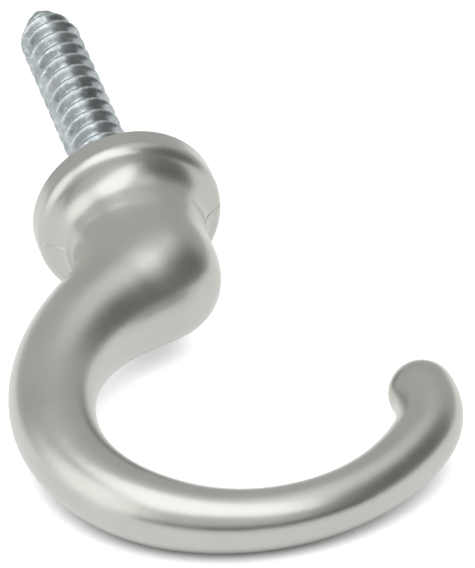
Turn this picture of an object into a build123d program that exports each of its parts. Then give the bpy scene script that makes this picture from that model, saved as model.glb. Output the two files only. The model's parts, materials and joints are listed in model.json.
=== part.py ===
from build123d import *
import math
import os

# Screw hook: a die-cast hook with a flared collar, carried on a steel wood screw.
# Sizes are in millimetres. Both pieces are drawn about the collar's flat seat, with its centre
# at the origin, the screw along +Y and the hook towards -Y, and are then laid on their side.

# Collar, from the flat seat that meets the wall to the neck
rim_radius = 8.0
rim_height = 1.53
seat_edge_break = 0.1
shoulder_radius = 1.4
flank_turn = 60.0
neck_taper = 8.0
neck_radius = 5.55
neck_length = 6.68

# Centreline of the rod, as arcs that run into each other
elbow_inner_radius = 0.83
elbow_turn = 63.0
sweep_radius = 16.6
belly_bend_radius = 15.37
heel_bend_radius = 15.61
far_bend_radius = 15.63
bowl_turn = 45.0
tip_bend_radius = 7.06
tip_turn = 48.3

# Half thickness of the rod, from the elbow to the tip
elbow_swell = 0.68
root_radius = 4.64
belly_radius = 3.35
heel_radius = 2.86
bottom_radius = 2.43
far_radius = 2.61
tip_radius = 2.77

# Screw
screw_radius = 2.7
screw_length = 30.5
point_length = 4.0
point_radius = 0.5
socket_radius = 2.5
socket_depth = 7.0
mouth_chamfer = 0.5
drill_angle = 118.0
tail_length = 6.5
tail_chamfer = 0.5

# How the hook lies: rolled about the screw until its weight is over its two points of rest
lying_roll = 1.5
floor_steps = 40
short_of_end = 0.999

# The flank is two arcs that meet tangent to each other, and runs on into the tapered neck. The
# flare is a fillet and is limited by the neck that it lies on: past that, a cone joins the arcs.
steepest = math.radians(flank_turn)
taper = math.radians(neck_taper)
flank_drop = rim_radius - neck_radius - shoulder_radius * (1 - math.cos(steepest))
flank_rise = neck_length - rim_height - shoulder_radius * math.sin(steepest)
flare_drop = math.cos(taper) - math.cos(steepest)
flare_rise = math.sin(steepest) - math.sin(taper)
drop_over_taper = flank_drop - flank_rise * math.tan(taper)
flare_over_taper = flare_drop - flare_rise * math.tan(taper)
widest_flare = (flank_rise * math.tan(steepest) - flank_drop) / (flare_rise * math.tan(steepest) - flare_drop)
flare_radius = min(drop_over_taper / flare_over_taper, 0.95 * widest_flare)
cone_rise = (drop_over_taper - flare_radius * flare_over_taper) / (math.tan(steepest) - math.tan(taper))
elbow_radius = neck_radius + elbow_inner_radius


def rod_thickness(distance, stations):
    """Half thickness at a distance along the rod, on a smooth curve through the stations."""
    places = [place for place, _ in stations]
    sizes = [size for _, size in stations]
    slopes = [(b - a) / (q - p) for a, b, p, q in zip(sizes, sizes[1:], places, places[1:])]
    lean = [slopes[0]] + [(a + b) / 2 for a, b in zip(slopes, slopes[1:])] + [0.0]
    span = max(i for i, place in enumerate(places[:-1]) if place <= distance)
    length = places[span + 1] - places[span]
    t = (distance - places[span]) / length
    start = sizes[span] + length * lean[span] * t
    end = sizes[span + 1] - length * lean[span + 1] * (1 - t)
    blend = t * t * (3 - 2 * t)
    return start * (1 - blend) + end * blend


def section_plane(at, heading, shift=0.0):
    """The plane across the rod at a point, moved sideways to the outside of the elbow."""
    side = Vector(-heading.Y, heading.X, 0)
    return Plane(origin=at + side * shift, x_dir=side, z_dir=heading)


with BuildLine() as centreline:
    elbow = JernArc((0, -neck_length), (0, -1), elbow_radius, -elbow_turn)
    sweep_bend = JernArc(elbow @ 1, elbow % 1, sweep_radius, elbow_turn)
    belly_bend = JernArc(sweep_bend @ 1, sweep_bend % 1, belly_bend_radius, bowl_turn)
    heel_bend = JernArc(belly_bend @ 1, belly_bend % 1, heel_bend_radius, bowl_turn)
    far_bend = JernArc(heel_bend @ 1, heel_bend % 1, far_bend_radius, tip_turn)
    tip_bend = JernArc(far_bend @ 1, far_bend % 1, tip_bend_radius, tip_turn)

# Stations of the rod: distance along it, and half thickness there
bends = [elbow, sweep_bend, belly_bend, heel_bend, far_bend, tip_bend]
bend_starts = [sum(bend.length for bend in bends[:i]) for i in range(len(bends) + 1)]
bend_sizes = [neck_radius, root_radius, belly_radius, heel_radius, bottom_radius, far_radius, tip_radius]
rod_stations = list(zip(bend_starts, bend_sizes))
sections_per_bend = [5, 5, 3, 3, 4, 3]

with BuildPart() as hook_body:
    # Collar and neck, turned about the screw's axis
    with BuildSketch() as collar_profile:
        with BuildLine():
            Polyline(
                (0, -neck_length),
                (0, 0),
                (rim_radius - seat_edge_break, 0),
                (rim_radius, -seat_edge_break),
                (rim_radius, -rim_height),
            )
            shoulder = JernArc((rim_radius, -rim_height), (0, -1), shoulder_radius, -flank_turn)
            flank_end = shoulder @ 1
            if cone_rise > 0.001:
                flank_end += (shoulder % 1) * cone_rise / math.cos(steepest)
                Line(shoulder @ 1, flank_end)
            flare = JernArc(flank_end, shoulder % 1, flare_radius, flank_turn - neck_taper)
            Polyline(flare @ 1, (neck_radius, -neck_length), (0, -neck_length))
        make_face()
    revolve(axis=Axis.Y)

    # Rod, lofted through ellipses across the centreline
    for bend, start, count in zip(bends, bend_starts, sections_per_bend):
        for step in range(count):
            t = step / count
            thick = rod_thickness(start + t * bend.length, rod_stations)
            swell = elbow_swell * math.sin(math.pi * t) ** 2 if bend is elbow else 0.0
            with BuildSketch(section_plane(bend @ t, bend % t, swell)):
                Ellipse(thick + swell, thick + swell / 2)
    with BuildSketch(section_plane(tip_bend @ 1, tip_bend % 1)):
        Circle(tip_radius)
    loft()

    # Round end of the rod
    with BuildSketch(Plane(origin=tip_bend @ 1, x_dir=tip_bend % 1, z_dir=(0, 0, 1))):
        with BuildLine():
            Line((0, tip_radius), (0, 0))
            Line((0, 0), (tip_radius, 0))
            CenterArc((0, 0), tip_radius, 0, 90)
        make_face()
    revolve(axis=Axis(tip_bend @ 1, tip_bend % 1))

    # Socket for the screw, drilled from the seat
    with BuildSketch() as socket_profile:
        with BuildLine():
            drill_tip = socket_radius / math.tan(math.radians(drill_angle / 2))
            Polyline(
                (0, 0),
                (socket_radius + mouth_chamfer, 0),
                (socket_radius, -mouth_chamfer),
                (socket_radius, -socket_depth),
                (0, -socket_depth - drill_tip),
                close=True,
            )
        make_face()
    revolve(axis=Axis.Y, mode=Mode.SUBTRACT)

with BuildPart() as screw_stud:
    # Screw, with the plain outer form of its thread and a short tail held in the socket
    with BuildSketch() as screw_profile:
        with BuildLine():
            Polyline(
                (0, -tail_length),
                (socket_radius - tail_chamfer, -tail_length),
                (socket_radius, tail_chamfer - tail_length),
                (socket_radius, 0),
                (screw_radius, 0),
                (screw_radius, screw_length - point_length),
                (point_radius, screw_length),
                (0, screw_length),
                close=True,
            )
        make_face()
    revolve(axis=Axis.Y)


def touching_pitch(place, thick):
    """Angle that brings one station of the rolled rod down to the floor beside the rim."""
    reach = -place.Y - rim_height
    rise = place.X * math.sin(math.radians(lying_roll)) + rim_radius - shoulder_radius
    gain = math.asin((shoulder_radius - thick) / math.hypot(reach, rise))
    return math.degrees(gain + math.atan2(rise, reach))


# Lie the hook down on the rim and on the lowest place of its bend
pitches = []
for bend, start in zip(bends[1:], bend_starts[1:]):
    for step in range(floor_steps + 1):
        t = step / floor_steps
        thick = rod_thickness(start + t * bend.length * short_of_end, rod_stations)
        pitches.append(touching_pitch(bend @ t, thick))
laid = Rot(X=min(pitches)) * Rot(Y=-lying_roll)
box = Compound([hook_body.part.moved(laid), screw_stud.part.moved(laid)]).bounding_box()
rest = Pos(-box.center().X, -box.center().Y, -box.min.Z) * laid

os.makedirs("parts", exist_ok=True)
hook_body.part.locate(rest)
hook_body.part.label = "hook_body"
export_step(hook_body.part, "parts/hook_body.step")
screw_stud.part.locate(rest)
screw_stud.part.label = "screw_stud"
export_step(screw_stud.part, "parts/screw_stud.step")
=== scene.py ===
import json
import math

import bmesh
import bpy
from mathutils import Matrix, Vector


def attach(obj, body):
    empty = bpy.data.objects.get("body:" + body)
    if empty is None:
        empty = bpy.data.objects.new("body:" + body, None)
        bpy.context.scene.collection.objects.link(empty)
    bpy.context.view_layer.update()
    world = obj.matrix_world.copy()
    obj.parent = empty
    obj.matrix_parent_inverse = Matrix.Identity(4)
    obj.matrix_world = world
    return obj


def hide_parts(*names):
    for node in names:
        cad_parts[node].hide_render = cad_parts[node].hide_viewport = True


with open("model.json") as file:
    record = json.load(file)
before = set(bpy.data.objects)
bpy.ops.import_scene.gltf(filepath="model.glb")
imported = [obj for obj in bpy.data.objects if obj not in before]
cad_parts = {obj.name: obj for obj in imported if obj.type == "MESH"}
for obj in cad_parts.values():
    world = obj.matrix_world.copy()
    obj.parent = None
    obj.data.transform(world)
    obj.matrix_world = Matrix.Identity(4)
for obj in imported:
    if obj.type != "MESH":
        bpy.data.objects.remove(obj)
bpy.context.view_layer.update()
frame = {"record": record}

# Where the hook lies. It rests on the rim of its collar and on the outside of its bend, so it is
# pitched nose down and rolled a little. Both pieces are drawn standing about the collar's seat,
# in millimetres, with the screw along +Y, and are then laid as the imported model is.
metres_per_mm = 0.001
mounts = {mount["name"]: mount for mount in frame["record"]["mounts"]}
screw_axis = Vector(mounts["screw"]["axis"])
shank_length = mounts["screw"]["dims"]["length_mm"]
seat_centre = Vector(mounts["screw"]["pos_m"]) - screw_axis * (shank_length / 2 * metres_per_mm)
lying_pitch = math.atan2(screw_axis.z, screw_axis.y)
lying_roll = math.radians(1.5)
laid = (
    Matrix.Translation(seat_centre)
    @ Matrix.Rotation(lying_pitch, 4, "X")
    @ Matrix.Rotation(-lying_roll, 4, "Y")
    @ Matrix.Scale(metres_per_mm, 4)
)

# Collar of the hook. The hook is one zinc die casting: a flat-backed collar whose edge band rolls
# over a round shoulder into a hollow flare, down to the neck. The two halves of the mould leave a
# fine line on the flare, in the plane of the hook.
rim_radius = 8.0
rim_height = 1.53
seat_edge_break = 0.1
shoulder_radius = 1.4
flank_turn = math.radians(60)
neck_taper = math.radians(8)
neck_radius = 5.55
neck_length = 6.68
mouth_radius = 3.0
mouth_depth = 0.5
socket_radius = 2.5
socket_depth = 7.0
parting_half_angle = 0.009
parting_depth = 0.06
parting_start = 2.2
parting_end = 5.2
arc_steps = 14
neck_steps = 4
sides = 128

# The flare runs on from the shoulder without a corner, and ends in the taper of the neck
slope = math.tan(neck_taper)
shoulder_end = rim_height + shoulder_radius * math.sin(flank_turn)
flank_drop = rim_radius - neck_radius - shoulder_radius * (1 - math.cos(flank_turn))
flare_drop = math.cos(neck_taper) - math.cos(flank_turn)
flare_rise = math.sin(flank_turn) - math.sin(neck_taper)
flare_radius = (flank_drop - (neck_length - shoulder_end) * slope) / (flare_drop - flare_rise * slope)
flare_end = shoulder_end + flare_radius * flare_rise
flare_end_radius = neck_radius + (neck_length - flare_end) * slope

# The collar's outline from the bottom of the socket to the elbow, as radius and distance from the seat
collar_profile = [
    (socket_radius, socket_depth),
    (socket_radius, mouth_depth),
    (mouth_radius, 0.0),
    (rim_radius - seat_edge_break, 0.0),
    (rim_radius, seat_edge_break),
    (rim_radius, rim_height / 2),
]
for step in range(arc_steps + 1):
    angle = flank_turn * step / arc_steps
    radius = rim_radius - shoulder_radius * (1 - math.cos(angle))
    collar_profile.append((radius, rim_height + shoulder_radius * math.sin(angle)))
for step in range(1, arc_steps + 1):
    angle = flank_turn + (neck_taper - flank_turn) * step / arc_steps
    radius = flare_end_radius + flare_radius * (math.cos(neck_taper) - math.cos(angle))
    behind = flare_end - flare_radius * (math.sin(angle) - math.sin(neck_taper))
    collar_profile.append((radius, behind))
for step in range(1, neck_steps + 1):
    to_elbow = (neck_length - flare_end) * (1 - step / neck_steps)
    collar_profile.append((neck_radius + to_elbow * slope, neck_length - to_elbow))


def new_piece(name, mesh):
    """An object at the origin that carries a mesh."""
    piece = bpy.data.objects.new(name, mesh)
    bpy.context.scene.collection.objects.link(piece)
    return piece


def turned_rings(profile, angles):
    """Rings of points about the screw's axis, one for each (radius, distance behind the seat)."""
    return [
        [(radius * math.cos(angle), -behind, radius * math.sin(angle)) for angle in angles]
        for radius, behind in profile
    ]


# Rod of the hook. It grows out of the neck, swells in the elbow, sweeps back to the belly and goes
# round the eye to a round tip, thinning to the bottom of the bend. It is one surface with the
# collar, since both are cast together.
elbow_inner_radius = 0.83
elbow_radius = neck_radius + elbow_inner_radius
elbow_turn = 63.0
elbow_swell = 0.68
sweep_radius = 16.6
belly_bend_radius = 15.37
heel_bend_radius = 15.61
far_bend_radius = 15.63
bowl_turn = 45.0
tip_bend_radius = 7.06
tip_turn = 48.3

# Half thickness of the rod. The belly and the tip are up to 0.07 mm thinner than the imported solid's,
# so that the mesh stays inside its box.
root_radius = 4.64
belly_radius = 3.345
heel_radius = 2.86
bottom_radius = 2.43
far_radius = 2.61
tip_radius = 2.7

# Each bend of the rod: its radius, the degrees that it turns and the half thickness at its end
rod_bends = [
    (elbow_radius, -elbow_turn, root_radius),
    (sweep_radius, elbow_turn, belly_radius),
    (belly_bend_radius, bowl_turn, heel_radius),
    (heel_bend_radius, bowl_turn, bottom_radius),
    (far_bend_radius, tip_turn, far_radius),
    (tip_bend_radius, tip_turn, tip_radius),
]
degrees_per_ring = 1.5
tip_rings = 16
rounding = 1e-9


def rod_thickness(distance, stations):
    """Half thickness at a distance along the rod, on a smooth curve through the stations."""
    places = [place for place, _ in stations]
    sizes = [size for _, size in stations]
    slopes = [(b - a) / (q - p) for a, b, p, q in zip(sizes, sizes[1:], places, places[1:])]
    lean = [slopes[0]] + [(a + b) / 2 for a, b in zip(slopes, slopes[1:])] + [0.0]
    span = max(i for i, place in enumerate(places[:-1]) if place <= distance + rounding)
    length = places[span + 1] - places[span]
    t = min((distance - places[span]) / length, 1.0)
    start = sizes[span] + length * lean[span] * t
    end = sizes[span + 1] - length * lean[span + 1] * (1 - t)
    blend = t * t * (3 - 2 * t)
    return start * (1 - blend) + end * blend


def ahead(heading):
    """A step of one millimetre along a heading, in the plane of the hook."""
    return Vector((math.cos(heading), math.sin(heading), 0.0))


stations = [(0.0, neck_radius)]
for bend_radius, turn, end_size in rod_bends:
    stations.append((stations[-1][0] + bend_radius * math.radians(abs(turn)), end_size))

# Sections of the rod and of its round end: centre, heading, half thickness and swell
place = Vector((0.0, -neck_length, 0.0))
heading = -math.pi / 2
travelled = 0.0
rod_sections = []
for bend_radius, turn, end_size in rod_bends:
    count = round(abs(turn) / degrees_per_ring)
    turn_step = math.radians(turn) / count
    chord = 2 * bend_radius * math.sin(abs(turn_step) / 2)
    for step in range(count):
        heading += turn_step / 2
        place = place + ahead(heading) * chord
        heading += turn_step / 2
        travelled += bend_radius * abs(turn_step)
        swell = 0.0
        if bend_radius == elbow_radius:
            swell = elbow_swell * math.sin(math.pi * (step + 1) / count) ** 2
        rod_sections.append((place, heading, rod_thickness(travelled, stations), swell))
for step in range(1, tip_rings):
    angle = math.pi / 2 * step / tip_rings
    forward = ahead(heading) * tip_radius * math.sin(angle)
    rod_sections.append((place + forward, heading, tip_radius * math.cos(angle), 0.0))

# The angles of each ring run from the outside of the elbow, the same way on collar and rod. They
# stand closer on both sides of the two places where the halves of the mould met.
seams = (0.0, math.pi)
fine_columns = (-2, -1, 1, 2)
ring_angles = [2 * math.pi * i / sides for i in range(sides)]
for seam in seams:
    for step in fine_columns:
        ring_angles.append((seam + step * parting_half_angle) % (2 * math.pi))
ring_angles.sort()
columns = len(ring_angles)
body_rings = turned_rings(collar_profile, ring_angles)
for ring, (radius, behind) in zip(body_rings, collar_profile):
    if parting_start < behind < parting_end:
        for seam in seams:
            ring[ring_angles.index(seam)] = ((radius - parting_depth) * math.cos(seam), -behind, 0.0)
for centre, direction, thick, swell in rod_sections:
    side = Vector((-math.sin(direction), math.cos(direction), 0.0))
    ring = []
    for angle in ring_angles:
        across = swell + (thick + swell) * math.cos(angle)
        lift = (thick + swell / 2) * math.sin(angle)
        ring.append(centre + side * across + Vector((0.0, 0.0, lift)))
    body_rings.append(ring)

# The inner corner between flank, neck and rod is cast as one soft hollow. It is drawn as a curve
# that leaves the flank and arrives on the rod along their surfaces, and is strongest on one side.
hollow_behind = 3.0
hollow_rings = 50
hollow_side = math.radians(160)
hollow_focus = 1.0
hollow_share = 0.65
hollow_reach = 0.9
flank = [i for i, (radius, _) in enumerate(collar_profile) if neck_radius < radius < rim_radius]
hollow_start = next(i for i in flank if collar_profile[i][1] > hollow_behind)
hollow_end = len(collar_profile) + hollow_rings
for i, angle in enumerate(ring_angles):
    share = hollow_share * max(0.0, math.cos(angle - hollow_side)) ** hollow_focus
    start, end = Vector(body_rings[hollow_start][i]), Vector(body_rings[hollow_end][i])
    reach = (end - start).length * hollow_reach
    away = (start - Vector(body_rings[hollow_start - 1][i])).normalized() * reach
    into = (Vector(body_rings[hollow_end + 1][i]) - end).normalized() * reach
    for row in range(hollow_start + 1, hollow_end):
        t = (row - hollow_start) / (hollow_end - hollow_start)
        swept = start * (1 - 3 * t * t + 2 * t ** 3) + end * (3 * t * t - 2 * t ** 3)
        swept += away * (t - 2 * t * t + t ** 3) + into * (t ** 3 - t * t)
        body_rings[row][i] = Vector(body_rings[row][i]).lerp(swept, share)

# One closed skin: the socket, the seat, the collar, the rod and its round end
crease_angle = math.radians(35)
hook_mesh = bpy.data.meshes.new("hook_body_cast")
bm = bmesh.new()
rows = [[bm.verts.new(laid @ Vector(point)) for point in ring] for ring in body_rings]
for row, following in zip(rows, rows[1:]):
    for i in range(columns):
        j = (i + 1) % columns
        bm.faces.new((row[i], row[j], following[j], following[i]))
first = bm.verts.new(laid @ Vector((0.0, -socket_depth, 0.0)))
last = bm.verts.new(laid @ (place + ahead(heading) * tip_radius))
for i in range(columns):
    j = (i + 1) % columns
    bm.faces.new((first, rows[0][j], rows[0][i]))
    bm.faces.new((rows[-1][i], rows[-1][j], last))
for face in bm.faces:
    face.smooth = True
bmesh.ops.recalc_face_normals(bm, faces=bm.faces)
for edge in bm.edges:
    edge.smooth = edge.calc_face_angle(0.0) < crease_angle
bm.to_mesh(hook_mesh)
bm.free()
hook = new_piece("hook_casting", hook_mesh)
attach(hook, "root")
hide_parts("hook_body")

# Satin nickel over the casting. It is plated on the blasted metal, so it has a fine grain, is softly
# mottled and keeps a few tiny pits. Scales are in waves or cells a metre, and depths in metres.
nickel_dull = (0.475, 0.474, 0.438, 1)
nickel_clean = (0.525, 0.524, 0.497, 1)
pit_colour = (0.12, 0.115, 0.1, 1)
mottle_waves = 140.0
cloud_waves = 900.0
grain_waves = 9000.0
mottle_low, mottle_high = 0.3, 0.7
nickel_smooth, nickel_rough = 0.25, 0.29
cloud_roughness = 0.05
cloud_depth, cloud_strength = 0.00004, 0.35
grain_depth, grain_strength = 0.000006, 0.5
pit_cells = 420.0
pit_rarity = 0.72
pit_core, pit_edge = 0.012, 0.04
pit_sink = -2.0


def new_node(tree, kind, **settings):
    """A node of a kind, with its settings."""
    node = tree.nodes.new(kind)
    for name, value in settings.items():
        setattr(node, name, value)
    return node


def feed(tree, socket, value):
    """Joins an output to an input, or gives the input a plain value."""
    if isinstance(value, bpy.types.NodeSocket):
        tree.links.new(value, socket)
    else:
        socket.default_value = value


def work_out(tree, operation, *values):
    """The output of one sum."""
    node = new_node(tree, "ShaderNodeMath", operation=operation)
    for socket, value in zip(node.inputs, values):
        feed(tree, socket, value)
    return node.outputs[0]


def between(tree, value, low, high, at_low, at_high, **settings):
    """A value carried from one range to another, and held at the ends."""
    node = new_node(tree, "ShaderNodeMapRange", clamp=True, **settings)
    for socket, given in zip(node.inputs, (value, low, high, at_low, at_high)):
        feed(tree, socket, given)
    return node.outputs["Result"]


def noise(tree, place, scale, detail=2.0):
    """Cloudy noise from 0 to 1 over a place, with its scale in waves a metre."""
    node = new_node(tree, "ShaderNodeTexNoise")
    feed(tree, node.inputs["Vector"], place)
    node.inputs["Scale"].default_value = scale
    node.inputs["Detail"].default_value = detail
    return node.outputs["Fac"]


def mixed(tree, share, one, other):
    """A colour between two colours."""
    node = new_node(tree, "ShaderNodeMix", data_type="RGBA")
    for socket, value in zip((node.inputs[0], node.inputs[6], node.inputs[7]), (share, one, other)):
        feed(tree, socket, value)
    return node.outputs[2]


def raised(tree, height, distance, strength, normal=None):
    """Relief of a height map, with its depth in metres."""
    node = new_node(tree, "ShaderNodeBump")
    node.inputs["Distance"].default_value = distance
    node.inputs["Strength"].default_value = strength
    feed(tree, node.inputs["Height"], height)
    if normal is not None:
        feed(tree, node.inputs["Normal"], normal)
    return node.outputs["Normal"]


def coating(name, looks):
    """A material, from plain values for its shader's inputs."""
    material = bpy.data.materials.new(name)
    material.use_nodes = True
    for socket, value in looks.items():
        material.node_tree.nodes["Principled BSDF"].inputs[socket].default_value = value
    return material


satin = coating("satin_nickel", {"Metallic": 1.0})
tree = satin.node_tree
shader = tree.nodes["Principled BSDF"]
spot = new_node(tree, "ShaderNodeTexCoord").outputs["Object"]
mottle = noise(tree, spot, mottle_waves, detail=3.0)
cloud = noise(tree, spot, cloud_waves, detail=3.0)
grain = noise(tree, spot, grain_waves)
pit = new_node(tree, "ShaderNodeTexVoronoi")
feed(tree, pit.inputs["Vector"], spot)
pit.inputs["Scale"].default_value = pit_cells
pit_rank = new_node(tree, "ShaderNodeSeparateColor")
feed(tree, pit_rank.inputs[0], pit.outputs["Color"])
chosen = work_out(tree, "GREATER_THAN", pit_rank.outputs[0], pit_rarity)
near_pit = between(tree, pit.outputs["Distance"], pit_core, pit_edge, 1.0, 0.0)
pitted = work_out(tree, "MULTIPLY", near_pit, chosen)
clean = between(tree, mottle, mottle_low, mottle_high, 0.0, 1.0)
plated = mixed(tree, clean, nickel_dull, nickel_clean)
feed(tree, shader.inputs["Base Color"], mixed(tree, pitted, plated, pit_colour))
worn = between(tree, mottle, mottle_low, mottle_high, nickel_smooth, nickel_rough)
feed(tree, shader.inputs["Roughness"], work_out(tree, "MULTIPLY_ADD", cloud, cloud_roughness, worn))
relief = work_out(tree, "MULTIPLY_ADD", pitted, pit_sink, grain)
waves = raised(tree, cloud, cloud_depth, cloud_strength)
feed(tree, shader.inputs["Normal"], raised(tree, relief, grain_depth, grain_strength, waves))
hook_mesh.materials.append(satin)

# Screw. A steel wood screw, rolled and bright zinc plated, with a coarse right-hand thread from
# the collar to a blunt point. Its plain tail is pressed into the socket of the casting. Its sizes
# are in millimetres, apart from Crest Roundness and Point Bulge, which are powers.
screw_sizes = {
    "Crest Radius": 2.68,
    "Valley Radius": 1.93,
    "Pitch": 1.78,
    "Length": 30.5,
    "Point Length": 4.0,
    "Point Radius": 0.5,
    "Crest Roundness": 1.1,
    "Point Bulge": 0.82,
    "Tail Radius": 2.48,
    "Tail Length": 6.5,
}
rows_per_turn = 20
thread_sides = 96
spare_turns = 3
weld_distance = 0.002

thread_tree = bpy.data.node_groups.new("rolled_thread", "GeometryNodeTree")
identifiers = {}
for name in screw_sizes:
    item = thread_tree.interface.new_socket(name, in_out="INPUT", socket_type="NodeSocketFloat")
    identifiers[name] = item.identifier
thread_tree.interface.new_socket("Geometry", in_out="OUTPUT", socket_type="NodeSocketGeometry")
size = new_node(thread_tree, "NodeGroupInput").outputs

# A sheet of points, one row for each step along the helix, that is wound round the screw's axis. It
# has spare turns past both ends of the screw.
turns_in_all = (screw_sizes["Length"] + screw_sizes["Tail Length"]) / screw_sizes["Pitch"]
turns = math.ceil(turns_in_all) + spare_turns
turns_below_seat = math.ceil(screw_sizes["Tail Length"] / screw_sizes["Pitch"]) + 1
sheet = new_node(thread_tree, "GeometryNodeMeshGrid")
sheet.inputs["Size X"].default_value = 2 * math.pi
sheet.inputs["Size Y"].default_value = turns
sheet.inputs["Vertices X"].default_value = thread_sides + 1
sheet.inputs["Vertices Y"].default_value = turns * rows_per_turn + 1
position = new_node(thread_tree, "GeometryNodeInputPosition").outputs[0]
apart = new_node(thread_tree, "ShaderNodeSeparateXYZ")
feed(thread_tree, apart.inputs[0], position)
angle, row = apart.outputs["X"], apart.outputs["Y"]
turn = work_out(thread_tree, "ADD", row, turns / 2 - turns_below_seat)
wound = work_out(thread_tree, "MULTIPLY_ADD", angle, 1 / (2 * math.pi), turn)
along = work_out(thread_tree, "MULTIPLY", wound, size["Pitch"])
phase = work_out(thread_tree, "FRACT", turn)
from_crest = work_out(thread_tree, "ABSOLUTE", work_out(thread_tree, "MULTIPLY_ADD", phase, 2.0, -1.0))
fall = work_out(thread_tree, "POWER", from_crest, size["Crest Roundness"])
ridge = between(thread_tree, fall, 0.0, 1.0, 1.0, 0.0, interpolation_type="SMOOTHSTEP")

# Full thread on the shank, that runs down with the cone of the point
taper_start = work_out(thread_tree, "SUBTRACT", size["Length"], size["Point Length"])
left = between(thread_tree, along, taper_start, size["Length"], 1.0, 0.0)
bulged = work_out(thread_tree, "POWER", left, size["Point Bulge"])
cone = between(thread_tree, bulged, 0.0, 1.0, size["Point Radius"], size["Crest Radius"])
share = work_out(thread_tree, "DIVIDE", size["Valley Radius"], size["Crest Radius"])
depth = between(thread_tree, ridge, 0.0, 1.0, share, 1.0)
threaded = work_out(thread_tree, "MULTIPLY", cone, depth)

# Plain tail below the seat, and both ends closed to a pole
on_tail = work_out(thread_tree, "LESS_THAN", along, 0.0)
radius = new_node(thread_tree, "ShaderNodeMix", data_type="FLOAT")
feed(thread_tree, radius.inputs[0], on_tail)
feed(thread_tree, radius.inputs[2], threaded)
feed(thread_tree, radius.inputs[3], size["Tail Radius"])
tail_end = work_out(thread_tree, "MULTIPLY", size["Tail Length"], -1.0)
above_tail = work_out(thread_tree, "GREATER_THAN", along, tail_end)
below_point = work_out(thread_tree, "LESS_THAN", along, size["Length"])
inside = work_out(thread_tree, "MULTIPLY", above_tail, below_point)
closed_radius = work_out(thread_tree, "MULTIPLY", radius.outputs[0], inside)
held = between(thread_tree, along, tail_end, size["Length"], tail_end, size["Length"])
cosine = work_out(thread_tree, "COSINE", angle)
right_hand = work_out(thread_tree, "SINE", work_out(thread_tree, "MULTIPLY", angle, -1.0))
wrapped = new_node(thread_tree, "ShaderNodeCombineXYZ")
feed(thread_tree, wrapped.inputs["X"], work_out(thread_tree, "MULTIPLY", closed_radius, cosine))
feed(thread_tree, wrapped.inputs["Y"], held)
feed(thread_tree, wrapped.inputs["Z"], work_out(thread_tree, "MULTIPLY", closed_radius, right_hand))
wind = new_node(thread_tree, "GeometryNodeSetPosition")
feed(thread_tree, wind.inputs["Geometry"], sheet.outputs["Mesh"])
feed(thread_tree, wind.inputs["Position"], wrapped.outputs[0])
weld = new_node(thread_tree, "GeometryNodeMergeByDistance")
feed(thread_tree, weld.inputs["Geometry"], wind.outputs["Geometry"])
feed(thread_tree, weld.inputs["Distance"], weld_distance)

# Zinc plating: cool grey, with small bright spangles and the dull drag marks of the rolling dies
zinc_dull = (0.3, 0.337, 0.34, 1)
zinc_clean = (0.44, 0.475, 0.483, 1)
spangle_colour = (0.6, 0.63, 0.635, 1)
spangle_waves = 2600.0
stain_waves = 420.0
spangle_low, spangle_high = 0.5, 0.75
spangle_depth, spangle_strength = 0.00004, 0.25
stain_low, stain_high = 0.35, 0.65
wear_low, wear_high = 0.3, 0.7
zinc_smooth, zinc_rough = 0.2, 0.32
zinc = coating("bright_zinc", {"Metallic": 1.0})
tree = zinc.node_tree
shader = tree.nodes["Principled BSDF"]
spot = new_node(tree, "ShaderNodeTexCoord").outputs["Object"]
spangle = noise(tree, spot, spangle_waves, detail=3.0)
stain = noise(tree, spot, stain_waves)
clean = between(tree, stain, stain_low, stain_high, 0.0, 1.0)
stained = mixed(tree, clean, zinc_dull, zinc_clean)
sparkle = between(tree, spangle, spangle_low, spangle_high, 0.0, 1.0)
feed(tree, shader.inputs["Base Color"], mixed(tree, sparkle, stained, spangle_colour))
worn = between(tree, stain, wear_low, wear_high, zinc_smooth, zinc_rough)
feed(tree, shader.inputs["Roughness"], worn)
feed(tree, shader.inputs["Normal"], raised(tree, spangle, spangle_depth, spangle_strength))

realized = new_node(thread_tree, "GeometryNodeRealizeInstances")
feed(thread_tree, realized.inputs["Geometry"], weld.outputs["Geometry"])
finish = new_node(thread_tree, "GeometryNodeSetMaterial")
finish.inputs["Material"].default_value = zinc
feed(thread_tree, finish.inputs["Geometry"], realized.outputs["Geometry"])
result = new_node(thread_tree, "NodeGroupOutput")
feed(thread_tree, result.inputs["Geometry"], finish.outputs["Geometry"])

screw = new_piece("wood_screw", bpy.data.meshes.new("wood_screw_blank"))
winding = screw.modifiers.new("thread", "NODES")
winding.node_group = thread_tree
for name, value in screw_sizes.items():
    winding[identifiers[name]] = value
bpy.context.view_layer.update()
wound_screw = screw.evaluated_get(bpy.context.evaluated_depsgraph_get())
screw_mesh = bpy.data.meshes.new_from_object(wound_screw)
screw.modifiers.remove(winding)
bm = bmesh.new()
bm.from_mesh(screw_mesh)
bmesh.ops.transform(bm, matrix=laid, verts=bm.verts)
bmesh.ops.recalc_face_normals(bm, faces=bm.faces)
for face in bm.faces:
    face.smooth = True
bm.to_mesh(screw_mesh)
bm.free()
screw.data = screw_mesh
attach(screw, "root")
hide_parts("screw_stud")

# Floor. A plain matt white sheet that the hook lies on. It is white to the camera and in the metal's
# reflections. Its dim grey keeps the hook's real shadow, and close to where the hook touches it the
# glow is dimmed by ambient occlusion, which is a painted contact shadow.
floor_half = 2.0
floor_grey = (0.2, 0.2, 0.2, 1)
matt = 0.9
painted_shadow_reach = 0.0035
painted_shadow_samples = 16
painted_shadow_closed, painted_shadow_open = 0.1, 0.5
painted_shadow_glow, white_glow = 0.08, 0.92
white = (1, 1, 1, 1)


def flat_piece(name, corners, material):
    """A piece with one flat face."""
    mesh = bpy.data.meshes.new(name)
    mesh.from_pydata(corners, [], [tuple(range(len(corners)))])
    mesh.materials.append(material)
    return new_piece(name, mesh)


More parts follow.
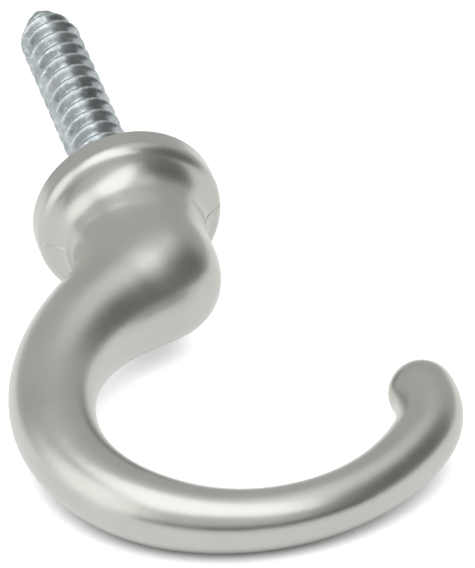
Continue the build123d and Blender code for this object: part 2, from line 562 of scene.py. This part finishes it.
floor_looks = {"Base Color": floor_grey, "Roughness": matt, "Emission Color": white}
floor_paint = coating("floor_paint", floor_looks)
tree = floor_paint.node_tree
shader = tree.nodes["Principled BSDF"]
painted_shadow_ao = new_node(tree, "ShaderNodeAmbientOcclusion", samples=painted_shadow_samples)
painted_shadow_ao.inputs["Distance"].default_value = painted_shadow_reach
ray = new_node(tree, "ShaderNodeLightPath").outputs
seen = work_out(tree, "MAXIMUM", ray["Is Camera Ray"], ray["Is Glossy Ray"])
seen = work_out(tree, "MAXIMUM", seen, ray["Is Transmission Ray"])
# Painted shadow: the glow falls from white to dim where ambient occlusion finds the hook close by,
# which paints the contact shadow into the floor
glow = between(tree, painted_shadow_ao.outputs["AO"], painted_shadow_closed, painted_shadow_open, painted_shadow_glow, white_glow)
feed(tree, shader.inputs["Emission Strength"], work_out(tree, "MULTIPLY", seen, glow))
floor_corners = [(x * floor_half, y * floor_half, 0) for x, y in ((-1, -1), (1, -1), (1, 1), (-1, 1))]
floor = flat_piece("floor", floor_corners, floor_paint)

# Dark card. A low strip of matt black card that stands in front of the hook, out of the picture.
# Its reflection is the dark line along the bend.
card_front = -0.105
card_left = -0.16
card_right = 0.07
card_height = 0.019
card_black = (0.05, 0.05, 0.05, 1)
card_paint = coating("card_paint", {"Base Color": card_black, "Roughness": matt})
card_corners = [
    (card_left, card_front, 0.0),
    (card_right, card_front, 0.0),
    (card_right, card_front, card_height),
    (card_left, card_front, card_height),
]
card = flat_piece("dark_card", card_corners, card_paint)
card.visible_camera = False

# Softbox. One large lamp of irregular outline hangs over the hook and in front of it. Its edges are
# placed by where the light patches of the metal end.
softbox_height = 0.5
softbox_outline = [
    (0.25, -0.66), (0.15, -0.26), (0.055, -0.03), (0.0, 0.075), (-0.1, 0.17), (-0.3, 0.17),
    (-0.4, 0.0), (-0.47, -0.25), (-0.44, -0.43), (-0.245, -0.41), (-0.1, -0.48), (0.0, -0.57),
]
black = (0, 0, 0, 1)
lamp_tint = (0.965, 0.978, 1, 1)
lamp_strength = 1.98
lamp_looks = {"Base Color": black, "Emission Color": lamp_tint, "Emission Strength": lamp_strength}
softbox_glow = coating("softbox_glow", lamp_looks)
softbox_corners = [(x, y, softbox_height) for x, y in softbox_outline]
softbox = flat_piece("softbox", softbox_corners, softbox_glow)
softbox.visible_camera = False

# Room. It is evenly pale, with a darker side at the front right, a light wall on the left, and a
# little more light from the front and from overhead. Each patch: how much it adds to the room's
# level, its azimuth and elevation, and the angles where it starts and ends to fade, in degrees.
room_level = 0.64
dark_side = (-0.42, -30, 20, 12, 55)
light_wall = (1.02, -176, 20, 14, 38)
front_glow = (0.2, -100, 24, 8, 40)
overhead_glow = (0.38, 10, 78, 6, 36)


def patch(tree, direction, azimuth, elevation, inner, outer):
    """1 within an angle of a direction, falling softly to 0 at a wider one."""
    azimuth, elevation = math.radians(azimuth), math.radians(elevation)
    facing = (
        math.cos(elevation) * math.cos(azimuth),
        math.cos(elevation) * math.sin(azimuth),
        math.sin(elevation),
    )
    near = new_node(tree, "ShaderNodeVectorMath", operation="DOT_PRODUCT")
    feed(tree, near.inputs[0], direction)
    near.inputs[1].default_value = facing
    nearness = near.outputs["Value"]
    fade_from, fade_to = math.cos(math.radians(outer)), math.cos(math.radians(inner))
    return between(tree, nearness, fade_from, fade_to, 0.0, 1.0, interpolation_type="SMOOTHSTEP")


world = bpy.data.worlds.new("studio")
bpy.context.scene.world = world
world.use_nodes = True
sky = world.node_tree
direction = new_node(sky, "ShaderNodeTexCoord").outputs["Generated"]
level = room_level
for gain, azimuth, elevation, inner, outer in (dark_side, light_wall, front_glow, overhead_glow):
    light = patch(sky, direction, azimuth, elevation, inner, outer)
    level = work_out(sky, "MULTIPLY_ADD", light, gain, level)
feed(sky, sky.nodes["Background"].inputs["Strength"], level)
sky.nodes["Background"].inputs["Color"].default_value = white

# Camera. A long lens stands in front of the hook and a little to its left, looks down on it by
# about 30 degrees and is rolled a little.
camera_target = Vector((0.00487, -0.00503, 0.006))
camera_distance = 0.3744
camera_azimuth = math.radians(13.11)
camera_elevation = math.radians(30.48)
camera_roll = math.radians(4.47)
image_width = 475
focal_pixels = 4500
sensor_width = 36.0
far_clip = 20.0
towards = Vector((
    -math.sin(camera_azimuth) * math.cos(camera_elevation),
    -math.cos(camera_azimuth) * math.cos(camera_elevation),
    math.sin(camera_elevation),
))
camera_data = bpy.data.cameras.new("camera")
camera_data.sensor_fit = "HORIZONTAL"
camera_data.sensor_width = sensor_width
camera_data.lens = sensor_width * focal_pixels / image_width
camera_data.clip_end = far_clip
camera = bpy.data.objects.new("camera", camera_data)
bpy.context.scene.collection.objects.link(camera)
camera.location = camera_target + towards * camera_distance
camera.rotation_euler = (
    towards.to_track_quat("Z", "Y").to_matrix() @ Matrix.Rotation(-camera_roll, 3, "Z")
).to_euler()
bpy.context.scene.camera = camera

scene = bpy.context.scene
scene.view_settings.view_transform = "Standard"
